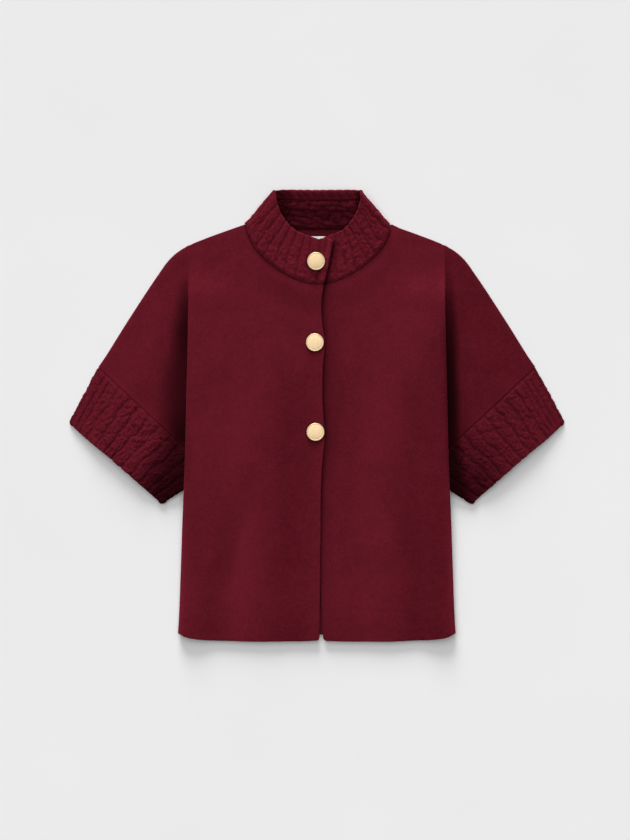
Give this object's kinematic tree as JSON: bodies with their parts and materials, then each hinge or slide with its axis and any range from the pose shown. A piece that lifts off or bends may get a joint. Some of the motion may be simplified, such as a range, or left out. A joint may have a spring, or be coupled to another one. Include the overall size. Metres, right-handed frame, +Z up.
{
  "type": "short-sleeved jacket",
  "caption": "Short felted-wool jacket laid flat, with wide cut-on sleeves, a textured funnel collar, deep textured cuffs and a domed-button front.",
  "frame": {"origin": "centre of the bounding box on the surface that the jacket lies on", "axes": "+Z up off the surface, +Y from the hem towards the collar, +X towards the wearer's left"},
  "size_m": [0.7678, 0.697, 0.0277],
  "materials": {
    "wool": "matt felted wool",
    "cable_wool": "matt wool with a raised cable texture",
    "gold_button": "pale satin gold",
    "tape": "plain woven tape",
    "label": "plain white satin weave, blank"
  },
  "bodies": {
    "root": {"back": "wool", "front_right": "wool", "front_left": "wool", "collar": "cable_wool", "cuff_right": "cable_wool", "cuff_left": "cable_wool", "button_1": "gold_button", "button_2": "gold_button", "button_3": "gold_button", "neck_tape": "tape", "neck_label": "label"}
  },
  "joints": []
}
